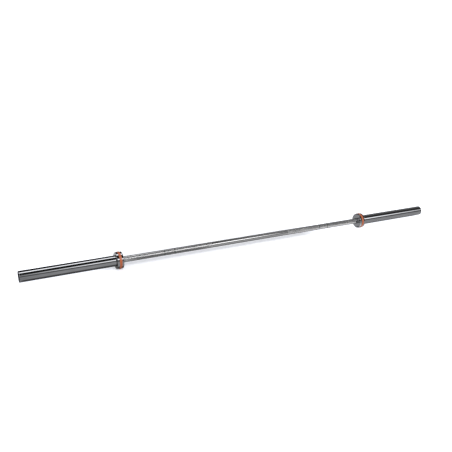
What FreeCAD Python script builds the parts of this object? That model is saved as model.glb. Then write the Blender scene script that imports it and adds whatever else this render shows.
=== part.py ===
import FreeCAD, Part
import os

import Sketcher

# Olympic barbell: a solid shaft with a turned journal at each end, and on each journal a sleeve
# that spins on two caged needle bearings and two bronze bushings.
# The bar lies along X with its middle at the origin, +Z is up, and all sizes are millimetres.
# Every piece is drawn from X = 0 outwards and then placed at its station along the bar.
# The left side is the right side turned half a turn about Z.

SIZES = (
    ("overall_length", 2200, "end to end over both sleeves"),
    ("grip_length", 1310, "between the inner faces of the collars"),
    ("grip_diameter", 28, "outside of the gripped shaft"),
    ("shoulder_step", 1.5, "radial step from the grip down to the journal"),
    ("mark_spacing", 810, "between the inner pair of grip marks"),
    ("mark_step", 50, "from an inner mark out to the next one"),
    ("mark_width", 4, "width of a grip mark"),
    ("mark_depth", 0.3, "depth of a grip mark"),
    ("sleeve_diameter", 50, "outside of the sleeve, which takes the plates"),
    ("sleeve_end_chamfer", 2, "bevel round the sleeve's outer end"),
    ("sleeve_mouth_chamfer", 0.8, "bevel round the hole in the sleeve's outer end"),
    ("collar_seat_rise", 0.5, "height of the collar's ground seat above the sleeve"),
    ("relief_width", 2, "width of the grinding relief beside the collar"),
    ("relief_depth", 0.3, "depth of that relief in the sleeve"),
    ("collar_diameter", 76, "outside of the collar"),
    ("collar_width", 30, "width of the collar along the bar"),
    ("collar_lip", 5, "wall that closes the collar round the shaft"),
    ("collar_edge_radius", 3, "rounding of the collar's inner rim"),
    ("collar_chamfer", 1, "bevel of the collar's outer rim"),
    ("band_width", 11, "width of the coloured band"),
    ("band_depth", 4, "depth of the band's groove in the collar"),
    ("band_rise", 1.5, "height of the band above the collar"),
    ("band_edge_radius", 1.2, "rounding of the band's edges"),
    ("seal_height", 5, "radial height of the dust seal"),
    ("seal_width", 4, "width of the dust seal"),
    ("seal_lip_width", 1.2, "width of the seal's lip on the shaft"),
    ("seal_gap", 1, "from the dust seal to the shaft's shoulder"),
    ("washer_thickness", 2, "thickness of a thrust washer"),
    ("bushing_length", 20, "length of a bronze bushing"),
    ("bushing_chamfer", 0.6, "bevel of a bushing's outer edges"),
    ("grease_groove_width", 3, "width of the groove inside a bushing"),
    ("grease_groove_depth", 0.6, "depth of the groove inside a bushing"),
    ("bearing_gap", 3, "from a bushing to the bearing beside it"),
    ("bearing_length", 20, "length of a needle bearing"),
    ("cup_wall", 1, "wall of the bearing's cup"),
    ("cage_thickness", 1.2, "radial thickness of the bearing's cage"),
    ("cage_rim", 1.2, "solid rim at each end of the cage"),
    ("needle_diameter", 2.5, "diameter of a needle"),
    ("needle_count", 16, "needles in one bearing"),
    ("chamber_step", 1, "radial step from the bearing bore to the end chamber"),
    ("shaft_ring_thickness", 1.2, "thickness of the ring that keeps the sleeve on the shaft"),
    ("shaft_ring_height", 2.8, "radial height of that ring"),
    ("shaft_groove_depth", 0.6, "depth of that ring's groove in the journal"),
    ("shaft_ring_setback", 4, "from that ring to the end of the shaft"),
    ("shaft_end_gap", 4, "from the end of the shaft to the end cap"),
    ("shaft_end_chamfer", 1, "bevel of the shaft's end"),
    ("cap_step", 1, "radial seat of the end cap outside the chamber"),
    ("cap_thickness", 4, "thickness of the end cap"),
    ("cap_rim", 3, "raised rim round the end cap's dish"),
    ("cap_dish", 0.8, "depth of the dish in the end cap"),
    ("cap_recess", 2.5, "from the sleeve's end in to the cap's ring"),
    ("cap_ring_thickness", 1.5, "thickness of the ring that holds the end cap"),
    ("cap_ring_height", 3, "radial height of that ring"),
    ("cap_groove_depth", 1, "depth of that ring's groove in the sleeve"),
    ("ring_gap", 4, "opening between the two ends of a retaining ring"),
    ("ring_lug_radius", 2.2, "radius of a retaining ring's lug"),
    ("ring_hole_radius", 0.9, "radius of the hole in a lug"),
    ("running_clearance", 0.03, "radial room of a needle at each race"),
    ("journal_clearance", 0.05, "radial room of a bushing or a seal on the shaft"),
    ("pocket_clearance", 0.06, "room of a needle on each side of its pocket"),
    ("free_clearance", 0.3, "room between pieces that turn past each other"),
    ("end_float", 0.3, "axial room of the sleeve between its washers"),
)

# Radii and stations that follow from the sizes. Stations are measured from the middle of the bar.
LAYOUT = (
    ("grip_radius", "sizes.grip_diameter / 2"),
    ("journal_radius", "grip_radius - sizes.shoulder_step"),
    ("bushing_bore_radius", "journal_radius + sizes.journal_clearance"),
    ("needle_radius", "sizes.needle_diameter / 2"),
    ("pitch_radius", "journal_radius + sizes.running_clearance + needle_radius"),
    ("race_radius", "pitch_radius + needle_radius + sizes.running_clearance"),
    ("bore_radius", "race_radius + sizes.cup_wall"),
    ("washer_radius", "bore_radius - sizes.free_clearance"),
    ("chamber_radius", "bore_radius + sizes.chamber_step"),
    ("cap_radius", "chamber_radius + sizes.cap_step"),
    ("cap_groove_radius", "cap_radius + sizes.cap_groove_depth"),
    ("sleeve_radius", "sizes.sleeve_diameter / 2"),
    ("collar_seat_radius", "sleeve_radius + sizes.collar_seat_rise"),
    ("relief_radius", "sleeve_radius - sizes.relief_depth"),
    ("collar_radius", "sizes.collar_diameter / 2"),
    ("band_seat_radius", "collar_radius - sizes.band_depth"),
    ("band_radius", "collar_radius + sizes.band_rise"),
    ("seal_radius", "grip_radius + sizes.seal_height"),
    ("seal_bore_radius", "grip_radius + sizes.journal_clearance"),
    ("lip_bore_radius", "grip_radius + sizes.free_clearance"),
    ("shaft_groove_radius", "journal_radius - sizes.shaft_groove_depth"),
    ("shaft_ring_radius", "shaft_groove_radius + sizes.shaft_ring_height"),
    ("cap_ring_bore_radius", "cap_groove_radius - sizes.cap_ring_height"),
    ("cup_lip_radius", "journal_radius + sizes.free_clearance"),
    ("cage_bore_radius", "pitch_radius - sizes.cage_thickness / 2"),
    ("cage_radius", "pitch_radius + sizes.cage_thickness / 2"),
    ("cage_length", "sizes.bearing_length - 2 * sizes.cup_wall - 2 * sizes.free_clearance"),
    ("pocket_length", "cage_length - 2 * sizes.cage_rim"),
    ("pocket_half_width", "needle_radius + sizes.pocket_clearance"),
    ("needle_length", "pocket_length - 2 * sizes.pocket_clearance"),
    ("inner_face", "sizes.grip_length / 2"),
    ("sleeve_end", "sizes.overall_length / 2"),
    ("sleeve_reach", "sleeve_end - inner_face"),
    ("seal_depth", "sizes.collar_lip"),
    ("relief_end", "sizes.collar_width + sizes.relief_width"),
    ("sleeve_depth", "seal_depth + sizes.seal_width"),
    ("band_near_edge", "(sizes.collar_width - sizes.band_width) / 2"),
    ("band_far_edge", "band_near_edge + sizes.band_width"),
    ("seal_start", "inner_face + seal_depth"),
    ("shoulder", "inner_face + sleeve_depth + sizes.seal_gap"),
    ("inner_bushing_start", "shoulder + sizes.washer_thickness + sizes.end_float"),
    ("inner_bearing_start", "inner_bushing_start + sizes.bushing_length + sizes.bearing_gap"),
    ("cap_ring_start", "sleeve_end - sizes.cap_recess - sizes.cap_ring_thickness"),
    ("cap_start", "cap_ring_start - sizes.cap_thickness"),
    ("shaft_end", "cap_start - sizes.shaft_end_gap"),
    ("shaft_ring_start", "shaft_end - sizes.shaft_ring_setback - sizes.shaft_ring_thickness"),
    ("outer_washer_start", "shaft_ring_start - sizes.washer_thickness"),
    ("chamber_start", "outer_washer_start - sizes.end_float"),
    ("outer_bushing_start", "chamber_start - sizes.bushing_length"),
    ("outer_bearing_start", "outer_bushing_start - sizes.bearing_gap - sizes.bearing_length"),
    ("inner_mark_near_edge", "(sizes.mark_spacing - sizes.mark_width) / 2"),
    ("outer_mark_near_edge", "inner_mark_near_edge + sizes.mark_step"),
)

SIDES = ("left", "right")
EDGE_TOLERANCE = 1e-4

doc = FreeCAD.newDocument("Barbell")
pieces = []


def fill_sheet(name, rows):
    """Write one row per value: its name, its content under an alias, and any note."""
    sheet = doc.addObject("Spreadsheet::Sheet", name)
    for row, (alias, content, *notes) in enumerate(rows, 1):
        sheet.set(f"A{row}", alias)
        sheet.setAlias(f"B{row}", alias)
        sheet.set(f"B{row}", content)
        for note in notes:
            sheet.set(f"C{row}", note)
    doc.recompute()
    return sheet


fill_sheet("sizes", [(alias, str(value), note) for alias, value, note in SIZES])
layout = fill_sheet("layout", [(alias, "=" + formula) for alias, formula in LAYOUT])


def value_of(expression):
    return float(layout.evalExpression(expression))


def new_body(label, station="0", side="right"):
    """Start a piece and place it at its station, turned round for the left side."""
    body = doc.addObject("PartDesign::Body", label)
    body.Label = label
    turn = 180 if side == "left" else 0
    body.Placement = FreeCAD.Placement(
        FreeCAD.Vector(), FreeCAD.Rotation(FreeCAD.Vector(0, 0, 1), turn)
    )
    if station != "0":
        body.setExpression("Placement.Base.x", f"-({station})" if side == "left" else station)
    pieces.append(body)
    return body


def origin_feature(body, role):
    return next(item for item in body.Origin.OriginFeatures if item.Role == role)


def new_sketch(body, plane, name):
    sketch = body.newObject("Sketcher::SketchObject", name)
    sketch.AttachmentSupport = [(origin_feature(body, plane), "")]
    sketch.MapMode = "FlatFace"
    return sketch


def tie_coordinate(sketch, point, kind, expression):
    """Hold one coordinate of a sketch point to an expression, on either side of the origin."""
    zero_line = {"DistanceX": -2, "DistanceY": -1}[kind]
    origin_point = (-1, 1)
    if expression == "0":
        sketch.addConstraint(Sketcher.Constraint("PointOnObject", *point, zero_line))
        return
    ends = (*origin_point, *point)
    if expression.startswith("-"):
        expression = expression[1:]
        ends = (*point, *origin_point)
    tie = sketch.addConstraint(Sketcher.Constraint(kind, *ends, value_of(expression)))
    sketch.setExpression(f"Constraints[{tie}]", expression)


def draw_outline(sketch, corners):
    """Draw a closed run of straight lines through corners given as pairs of expressions."""
    first = sketch.GeometryCount
    points = [FreeCAD.Vector(value_of(along), value_of(across), 0) for along, across in corners]
    for start, end in zip(points, points[1:] + points[:1]):
        sketch.addGeometry(Part.LineSegment(start, end), False)
    for index, (along, across) in enumerate(corners):
        edge = first + index
        following = first + (index + 1) % len(corners)
        sketch.addConstraint(Sketcher.Constraint("Coincident", edge, 2, following, 1))
        tie_coordinate(sketch, (edge, 1), "DistanceX", along)
        tie_coordinate(sketch, (edge, 1), "DistanceY", across)


def draw_circle(sketch, radius, along="0", across="0"):
    centre = FreeCAD.Vector(value_of(along), value_of(across), 0)
    circle = sketch.addGeometry(
        Part.Circle(centre, FreeCAD.Vector(0, 0, 1), value_of(radius)), False
    )
    tie_coordinate(sketch, (circle, 3), "DistanceX", along)
    tie_coordinate(sketch, (circle, 3), "DistanceY", across)
    tie = sketch.addConstraint(Sketcher.Constraint("Radius", circle, value_of(radius)))
    sketch.setExpression(f"Constraints[{tie}]", radius)


def revolve(body, corners):
    """Turn an outline of stations and radii once round the bar's axis."""
    sketch = new_sketch(body, "XY_Plane", "TurnedOutline")
    draw_outline(sketch, corners)
    turned = body.newObject("PartDesign::Revolution", "Turned")
    turned.Profile = sketch
    turned.ReferenceAxis = (origin_feature(body, "X_Axis"), [""])
    turned.Angle = 360
    doc.recompute()
    return turned


def pad(body, sketch, length):
    padded = body.newObject("PartDesign::Pad", "Padded")
    padded.Profile = sketch
    padded.setExpression("Length", length)
    doc.recompute()
    return padded


def pocket(body, sketch, reversed_cut=False):
    """Cut a sketch right through the piece and make sure that it met material."""
    before = body.Shape.Volume
    cut = body.newObject("PartDesign::Pocket", "Cut")
    cut.Profile = sketch
    cut.Type = "ThroughAll"
    cut.Reversed = reversed_cut
    doc.recompute()
    if body.Shape.Volume >= before:
        raise RuntimeError(f"{body.Label}: a cut met no material")
    return cut


def polar_pattern(body, feature, count):
    pattern = body.newObject("PartDesign::PolarPattern", "Around")
    pattern.Originals = [feature]
    pattern.Axis = (origin_feature(body, "X_Axis"), [""])
    pattern.Angle = 360
    pattern.setExpression("Occurrences", count)
    body.Tip = pattern
    doc.recompute()
    return pattern


def rim_edges(feature, station, radius):
    """Names of the round edges at a station and radius of a turned piece."""
    found = []
    for number, edge in enumerate(feature.Shape.Edges, 1):
        if not isinstance(edge.Curve, Part.Circle):
            continue
        on_station = abs(edge.Curve.Center.x - value_of(station)) < EDGE_TOLERANCE
        if on_station and abs(edge.Curve.Radius - value_of(radius)) < EDGE_TOLERANCE:
            found.append(f"Edge{number}")
    if not found:
        raise RuntimeError(f"no round edge at {station}, {radius}")
    return found


def dress_rims(body, feature, kind, size, expression, rims):
    """Fillet or chamfer the round edges named by their stations and radii."""
    dressing = body.newObject(f"PartDesign::{kind}", kind)
    names = [name for station, radius in rims for name in rim_edges(feature, station, radius)]
    dressing.Base = (feature, names)
    dressing.setExpression(size, expression)
    doc.recompute()
    return dressing


def make_shaft():
    """One bar: the grip with its marks, and a journal with a ring groove at each end."""
    body = new_body("shaft")
    turned = revolve(body, (
        ("0", "0"),
        ("layout.shaft_end", "0"),
        ("layout.shaft_end", "layout.journal_radius"),
        ("layout.shaft_ring_start + sizes.shaft_ring_thickness", "layout.journal_radius"),
        ("layout.shaft_ring_start + sizes.shaft_ring_thickness", "layout.shaft_groove_radius"),
        ("layout.shaft_ring_start", "layout.shaft_groove_radius"),
        ("layout.shaft_ring_start", "layout.journal_radius"),
        ("layout.shoulder", "layout.journal_radius"),
        ("layout.shoulder", "layout.grip_radius"),
        ("0", "layout.grip_radius"),
    ))
    marks = new_sketch(body, "XY_Plane", "MarkOutlines")
    for near_edge in ("layout.inner_mark_near_edge", "layout.outer_mark_near_edge"):
        far_edge = near_edge + " + sizes.mark_width"
        draw_outline(marks, (
            (near_edge, "layout.grip_radius - sizes.mark_depth"),
            (far_edge, "layout.grip_radius - sizes.mark_depth"),
            (far_edge, "layout.grip_radius"),
            (near_edge, "layout.grip_radius"),
        ))
    before = body.Shape.Volume
    groove = body.newObject("PartDesign::Groove", "Marks")
    groove.Profile = marks
    groove.ReferenceAxis = (origin_feature(body, "X_Axis"), [""])
    groove.Angle = 360
    doc.recompute()
    if body.Shape.Volume >= before:
        raise RuntimeError("the grip marks met no material")
    mirrored = body.newObject("PartDesign::Mirrored", "BothEnds")
    mirrored.Originals = [turned, groove]
    mirrored.MirrorPlane = (origin_feature(body, "YZ_Plane"), [""])
    body.Tip = mirrored
    doc.recompute()
    end_rims = (("layout.shaft_end", "layout.journal_radius"),
                ("-layout.shaft_end", "layout.journal_radius"))
    dress_rims(body, mirrored, "Chamfer", "Size", "sizes.shaft_end_chamfer", end_rims)


def make_sleeve(side):
    """Tube that takes the plates: a raised collar seat, bearing bore, end chamber, cap seat."""
    body = new_body(f"{side}_sleeve", "layout.inner_face", side)
    chamber = "layout.chamber_start - layout.inner_face"
    cap_seat = "layout.cap_start - layout.inner_face"
    ring_seat = "layout.cap_ring_start - layout.inner_face"
    ring_front = ring_seat + " + sizes.cap_ring_thickness"
    turned = revolve(body, (
        ("layout.sleeve_depth", "layout.bore_radius"),
        (chamber, "layout.bore_radius"),
        (chamber, "layout.chamber_radius"),
        (cap_seat, "layout.chamber_radius"),
        (cap_seat, "layout.cap_radius"),
        (ring_seat, "layout.cap_radius"),
        (ring_seat, "layout.cap_groove_radius"),
        (ring_front, "layout.cap_groove_radius"),
        (ring_front, "layout.cap_radius"),
        ("layout.sleeve_reach", "layout.cap_radius"),
        ("layout.sleeve_reach", "layout.sleeve_radius"),
        ("layout.relief_end", "layout.sleeve_radius"),
        ("layout.relief_end", "layout.relief_radius"),
        ("sizes.collar_width", "layout.relief_radius"),
        ("sizes.collar_width", "layout.collar_seat_radius"),
        ("layout.sleeve_depth", "layout.collar_seat_radius"),
    ))
    end_rim = (("layout.sleeve_reach", "layout.sleeve_radius"),)
    bevelled = dress_rims(body, turned, "Chamfer", "Size", "sizes.sleeve_end_chamfer", end_rim)
    mouth = (("layout.sleeve_reach", "layout.cap_radius"),)
    dress_rims(body, bevelled, "Chamfer", "Size", "sizes.sleeve_mouth_chamfer", mouth)


def make_collar(side):
    """Ring shrunk on the sleeve: a lip round the shaft, a seal pocket and the band's groove."""
    body = new_body(f"{side}_collar", "layout.inner_face", side)
    turned = revolve(body, (
        ("0", "layout.lip_bore_radius"),
        ("layout.seal_depth", "layout.lip_bore_radius"),
        ("layout.seal_depth", "layout.seal_radius"),
        ("layout.sleeve_depth", "layout.seal_radius"),
        ("layout.sleeve_depth", "layout.collar_seat_radius"),
        ("sizes.collar_width", "layout.collar_seat_radius"),
        ("sizes.collar_width", "layout.collar_radius"),
        ("layout.band_far_edge", "layout.collar_radius"),
        ("layout.band_far_edge", "layout.band_seat_radius"),
        ("layout.band_near_edge", "layout.band_seat_radius"),
        ("layout.band_near_edge", "layout.collar_radius"),
        ("0", "layout.collar_radius"),
    ))
    inner_rim = (("0", "layout.collar_radius"),)
    rounded = dress_rims(body, turned, "Fillet", "Radius", "sizes.collar_edge_radius", inner_rim)
    outer_rim = (("sizes.collar_width", "layout.collar_radius"),)
    dress_rims(body, rounded, "Chamfer", "Size", "sizes.collar_chamfer", outer_rim)


def make_collar_band(side):
    """Coloured ring that sits in the collar's groove and stands a little proud of it."""
    body = new_body(f"{side}_collar_band", "layout.inner_face", side)
    turned = revolve(body, (
        ("layout.band_near_edge", "layout.band_seat_radius"),
        ("layout.band_far_edge", "layout.band_seat_radius"),
        ("layout.band_far_edge", "layout.band_radius"),
        ("layout.band_near_edge", "layout.band_radius"),
    ))
    rims = (("layout.band_near_edge", "layout.band_radius"),
            ("layout.band_far_edge", "layout.band_radius"))
    dress_rims(body, turned, "Fillet", "Radius", "sizes.band_edge_radius", rims)


def make_dust_seal(side):
    """Rubber ring in the collar's pocket, with a lip that tapers down to the shaft."""
    body = new_body(f"{side}_dust_seal", "layout.seal_start", side)
    revolve(body, (
        ("0", "layout.seal_bore_radius"),
        ("sizes.seal_lip_width", "layout.seal_bore_radius"),
        ("sizes.seal_width", "layout.seal_radius - sizes.seal_height / 2"),
        ("sizes.seal_width", "layout.seal_radius"),
        ("0", "layout.seal_radius"),
    ))


def make_thrust_washer(side, place, station):
    """Flat ring on the journal that takes the sleeve's push along the bar."""
    body = new_body(f"{side}_{place}_thrust_washer", station, side)
    revolve(body, (
        ("0", "layout.bushing_bore_radius"),
        ("sizes.washer_thickness", "layout.bushing_bore_radius"),
        ("sizes.washer_thickness", "layout.washer_radius"),
        ("0", "layout.washer_radius"),
    ))


def make_bushing(side, place, station):
    """Bronze tube pressed in the sleeve, with a grease groove in its bore."""
    body = new_body(f"{side}_{place}_bushing", station, side)
    groove_start = "(sizes.bushing_length - sizes.grease_groove_width) / 2"
    groove_end = "(sizes.bushing_length + sizes.grease_groove_width) / 2"
    groove_radius = "layout.bushing_bore_radius + sizes.grease_groove_depth"
    turned = revolve(body, (
        ("0", "layout.bushing_bore_radius"),
        (groove_start, "layout.bushing_bore_radius"),
        (groove_start, groove_radius),
        (groove_end, groove_radius),
        (groove_end, "layout.bushing_bore_radius"),
        ("sizes.bushing_length", "layout.bushing_bore_radius"),
        ("sizes.bushing_length", "layout.bore_radius"),
        ("0", "layout.bore_radius"),
    ))
    rims = (("0", "layout.bore_radius"), ("sizes.bushing_length", "layout.bore_radius"))
    dress_rims(body, turned, "Chamfer", "Size", "sizes.bushing_chamfer", rims)


def make_bearing_cup(side, place, station):
    """Drawn steel cup pressed in the sleeve, with a turned-in lip at each end."""
    body = new_body(f"{side}_{place}_bearing_cup", station, side)
    far_lip = "sizes.bearing_length - sizes.cup_wall"
    revolve(body, (
        ("0", "layout.cup_lip_radius"),
        ("sizes.cup_wall", "layout.cup_lip_radius"),
        ("sizes.cup_wall", "layout.race_radius"),
        (far_lip, "layout.race_radius"),
        (far_lip, "layout.cup_lip_radius"),
        ("sizes.bearing_length", "layout.cup_lip_radius"),
        ("sizes.bearing_length", "layout.bore_radius"),
        ("0", "layout.bore_radius"),
    ))


def make_bearing_cage(side, place, station):
    """Thin ring with one pocket cut through it for each needle."""
    start = station + " + sizes.cup_wall + sizes.free_clearance"
    body = new_body(f"{side}_{place}_bearing_cage", start, side)
    revolve(body, (
        ("0", "layout.cage_bore_radius"),
        ("layout.cage_length", "layout.cage_bore_radius"),
        ("layout.cage_length", "layout.cage_radius"),
        ("0", "layout.cage_radius"),
    ))
    window = new_sketch(body, "XY_Plane", "PocketOutline")
    far_rim = "layout.cage_length - sizes.cage_rim"
    draw_outline(window, (
        ("sizes.cage_rim", "-layout.pocket_half_width"),
        (far_rim, "-layout.pocket_half_width"),
        (far_rim, "layout.pocket_half_width"),
        ("sizes.cage_rim", "layout.pocket_half_width"),
    ))
    cut = pocket(body, window, reversed_cut=True)
    polar_pattern(body, cut, "sizes.needle_count")


def make_bearing_needles(side, place, station):
    """One separate steel needle in each pocket of the cage."""
    cage_start = station + " + sizes.cup_wall + sizes.free_clearance"
    start = cage_start + " + sizes.cage_rim + sizes.pocket_clearance"
    body = new_body(f"{side}_{place}_bearing_needles", start, side)
    body.AllowCompound = True
    section = new_sketch(body, "YZ_Plane", "NeedleSection")
    draw_circle(section, "layout.needle_radius", "0", "layout.pitch_radius")
    needle = pad(body, section, "layout.needle_length")
    polar_pattern(body, needle, "sizes.needle_count")


def make_retaining_ring(label, station, side, bore, rim, lug_height, thickness):
    """Spring ring with an opening, and a lug with a plier hole at each end of it."""
    body = new_body(label, station, side)
    ring = new_sketch(body, "YZ_Plane", "RingOutline")
    draw_circle(ring, rim)
    draw_circle(ring, bore)
    pad(body, ring, thickness)
    opening = new_sketch(body, "YZ_Plane", "OpeningOutline")
    half_opening = "sizes.ring_gap / 2 + sizes.ring_lug_radius"
    draw_outline(opening, (
        (f"-({half_opening})", "0"),
        (half_opening, "0"),
        (half_opening, f"{rim} + sizes.ring_lug_radius"),
        (f"-({half_opening})", f"{rim} + sizes.ring_lug_radius"),
    ))
    pocket(body, opening, reversed_cut=True)
    lugs = new_sketch(body, "YZ_Plane", "LugOutlines")
    holes = new_sketch(body, "YZ_Plane", "HoleOutlines")
    for sideways in (f"-({half_opening})", half_opening):
        draw_circle(lugs, "sizes.ring_lug_radius", sideways, lug_height)
        draw_circle(holes, "sizes.ring_hole_radius", sideways, lug_height)
    pad(body, lugs, thickness)
    pocket(body, holes, reversed_cut=True)


def make_shaft_ring(side):
    make_retaining_ring(
        f"{side}_shaft_retaining_ring", "layout.shaft_ring_start", side,
        "layout.shaft_groove_radius", "layout.shaft_ring_radius",
        "layout.shaft_ring_radius - sizes.ring_lug_radius / 2", "sizes.shaft_ring_thickness",
    )


def make_cap_ring(side):
    make_retaining_ring(
        f"{side}_cap_retaining_ring", "layout.cap_ring_start", side,
        "layout.cap_ring_bore_radius", "layout.cap_groove_radius",
        "layout.cap_ring_bore_radius - sizes.ring_lug_radius / 4", "sizes.cap_ring_thickness",
    )


def make_end_cap(side):
    """Disc on the seat in the sleeve's end, dished on its outer face."""
    body = new_body(f"{side}_end_cap", "layout.cap_start", side)
    dish_radius = "layout.cap_ring_bore_radius - sizes.cap_rim"
    dish_floor = "sizes.cap_thickness - sizes.cap_dish"
    revolve(body, (
        ("0", "0"),
        (dish_floor, "0"),
        (dish_floor, dish_radius),
        ("sizes.cap_thickness", dish_radius + " + sizes.cap_dish"),
        ("sizes.cap_thickness", "layout.cap_radius"),
        ("0", "layout.cap_radius"),
    ))


def make_side(side):
    make_sleeve(side)
    make_collar(side)
    make_collar_band(side)
    make_dust_seal(side)
    make_thrust_washer(side, "inner", "layout.shoulder")
    make_thrust_washer(side, "outer", "layout.outer_washer_start")
    for place in ("inner", "outer"):
        make_bushing(side, place, f"layout.{place}_bushing_start")
        bearing_start = f"layout.{place}_bearing_start"
        make_bearing_cup(side, place, bearing_start)
        make_bearing_cage(side, place, bearing_start)
        make_bearing_needles(side, place, bearing_start)
    make_shaft_ring(side)
    make_end_cap(side)
    make_cap_ring(side)


def check_model():
    """Stop if any object failed to compute or any piece has no sound solid."""
    for item in doc.Objects:
        if "Invalid" in item.State or "Error" in item.State:
            raise RuntimeError(f"{item.Label} failed: {item.State}")
    for body in pieces:
        shape = body.Shape
        if shape.isNull() or not shape.isValid() or not shape.Solids:
            raise RuntimeError(f"{body.Label} has no sound solid")


def write_pieces():
    os.makedirs("parts", exist_ok=True)
    for body in pieces:
        body.Shape.exportStep(f"parts/{body.Label}.step")


make_shaft()
for side in SIDES:
    make_side(side)
doc.recompute()
check_model()
write_pieces()
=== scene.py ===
import math
from collections import namedtuple
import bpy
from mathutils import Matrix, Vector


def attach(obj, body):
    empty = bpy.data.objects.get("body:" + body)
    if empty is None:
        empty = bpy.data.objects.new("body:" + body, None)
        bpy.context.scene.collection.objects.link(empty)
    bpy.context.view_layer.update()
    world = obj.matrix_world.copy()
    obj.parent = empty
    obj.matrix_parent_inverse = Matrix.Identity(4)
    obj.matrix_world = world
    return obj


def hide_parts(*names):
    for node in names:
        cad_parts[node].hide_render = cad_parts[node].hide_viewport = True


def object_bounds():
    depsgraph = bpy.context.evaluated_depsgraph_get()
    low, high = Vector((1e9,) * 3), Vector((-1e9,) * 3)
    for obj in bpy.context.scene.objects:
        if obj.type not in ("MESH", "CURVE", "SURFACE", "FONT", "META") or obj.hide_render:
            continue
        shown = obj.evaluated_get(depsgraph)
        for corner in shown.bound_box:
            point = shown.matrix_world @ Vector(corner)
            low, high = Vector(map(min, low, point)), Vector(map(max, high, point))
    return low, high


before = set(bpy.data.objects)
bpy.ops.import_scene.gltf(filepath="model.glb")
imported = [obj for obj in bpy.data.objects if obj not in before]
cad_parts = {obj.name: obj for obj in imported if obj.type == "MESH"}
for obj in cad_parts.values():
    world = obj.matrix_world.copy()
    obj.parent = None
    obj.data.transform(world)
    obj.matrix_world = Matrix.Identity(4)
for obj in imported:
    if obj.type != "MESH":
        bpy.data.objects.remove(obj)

from types import SimpleNamespace

import bmesh
import bpy
from bpy.props import FloatProperty, FloatVectorProperty, IntProperty, PointerProperty
from mathutils import Vector

bl_info = {
    "name": "Olympic Barbell",
    "version": (1, 0, 0),
    "blender": (4, 5, 0),
    "location": "View3D > Sidebar > Barbell",
    "description": "Dresses a weightlifting bar: knurled shaft, chromed sleeves, collars and bands",
    "category": "Object",
}

# The bar lies along X with its middle at the origin, in metres. Pieces of the right end are modelled,
# and their copies for the left end are turned half a turn about Z.
MM = 0.001
CAD_BOX = [list(corner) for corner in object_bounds()]
MERGE_DISTANCE = 0.001 * MM
RIM_TOLERANCE = 0.01 * MM
SMOOTH_ANGLE = math.radians(31)
KNURL_SMOOTH_ANGLE = math.radians(44)
STAMPED_EDGE_ANGLE = math.radians(50)
LUG_SEGMENTS = 48
AXIS = (1, 0, 0)
MIDDLE = (0, 0, 0)
LAID_ALONG_BAR = (0, math.pi / 2, 0)
# Nearly all of a noise texture lies between these values.
NOISE_LOW = 0.3
NOISE_HIGH = 0.7


def linear(hex_colour):
    """Turn an sRGB hex colour into linear red, green, blue and alpha."""
    shares = [int(hex_colour[i:i + 2], 16) / 255 for i in (1, 3, 5)]
    return [s / 12.92 if s <= 0.04045 else ((s + 0.055) / 1.055) ** 2.4 for s in shares] + [1.0]


def off_axis(point):
    """Distance of a point from the bar's axis."""
    return math.hypot(point.y, point.z)


def turned_size(node):
    """Start, end, inner and outer radius of a CAD node that is turned about the bar's axis."""
    points = [vertex.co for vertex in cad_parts[node].data.vertices]
    radii = [off_axis(point) for point in points]
    stations = [point.x for point in points]
    return SimpleNamespace(
        start=min(stations), end=max(stations), inner=min(radii), outer=max(radii))


# Properties that a user would change


def length(name, description, default):
    """A length that a user can change, with its default in millimetres."""
    return FloatProperty(name=name, description=description, default=default * MM, unit="LENGTH",
                         min=0, precision=5)


def colour(name, description, default):
    """A colour that a user can change, with its default as an sRGB hex value."""
    return FloatVectorProperty(name=name, description=description, default=linear(default), size=4,
                               subtype="COLOR", min=0, max=1)


class BarbellShaft(bpy.types.PropertyGroup):
    journal_diameter: length("Journal", "Diameter of the shaft inside a sleeve", 25)
    ring_groove: length("Ring groove", "Depth of the retaining ring's groove in the journal", 0.6)
    end_bevel: length("End bevel", "Bevel of the shaft's ends", 1)
    mark_spacing: length("Mark spacing", "Between the inner pair of grip marks", 810)
    mark_step: length("Mark step", "From an inner grip mark out to the next one", 50)
    mark_width: length("Mark width", "Width of a grip mark", 4)
    mark_depth: length("Mark depth", "Depth of a grip mark", 0.3)
    smooth_middle: length("Smooth middle", "Length of the middle that has no knurl", 426)
    knurl_end_gap: length("Knurl end gap", "From the end of the knurl to the collar", 15)
    knurl_row: length("Knurl row", "Half the length of a knurl diamond along the bar", 1.36)
    knurl_cut: length("Knurl cut", "Depth of the knurl's valleys under the grip", 0.14)
    knurl_rise: length("Knurl rise", "Height of the knurl's points above the grip", 0.05)
    knurl_columns: IntProperty(name="Knurl columns", default=112, min=24, max=200,
                               description="Points and valleys round the shaft, an even number")


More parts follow.
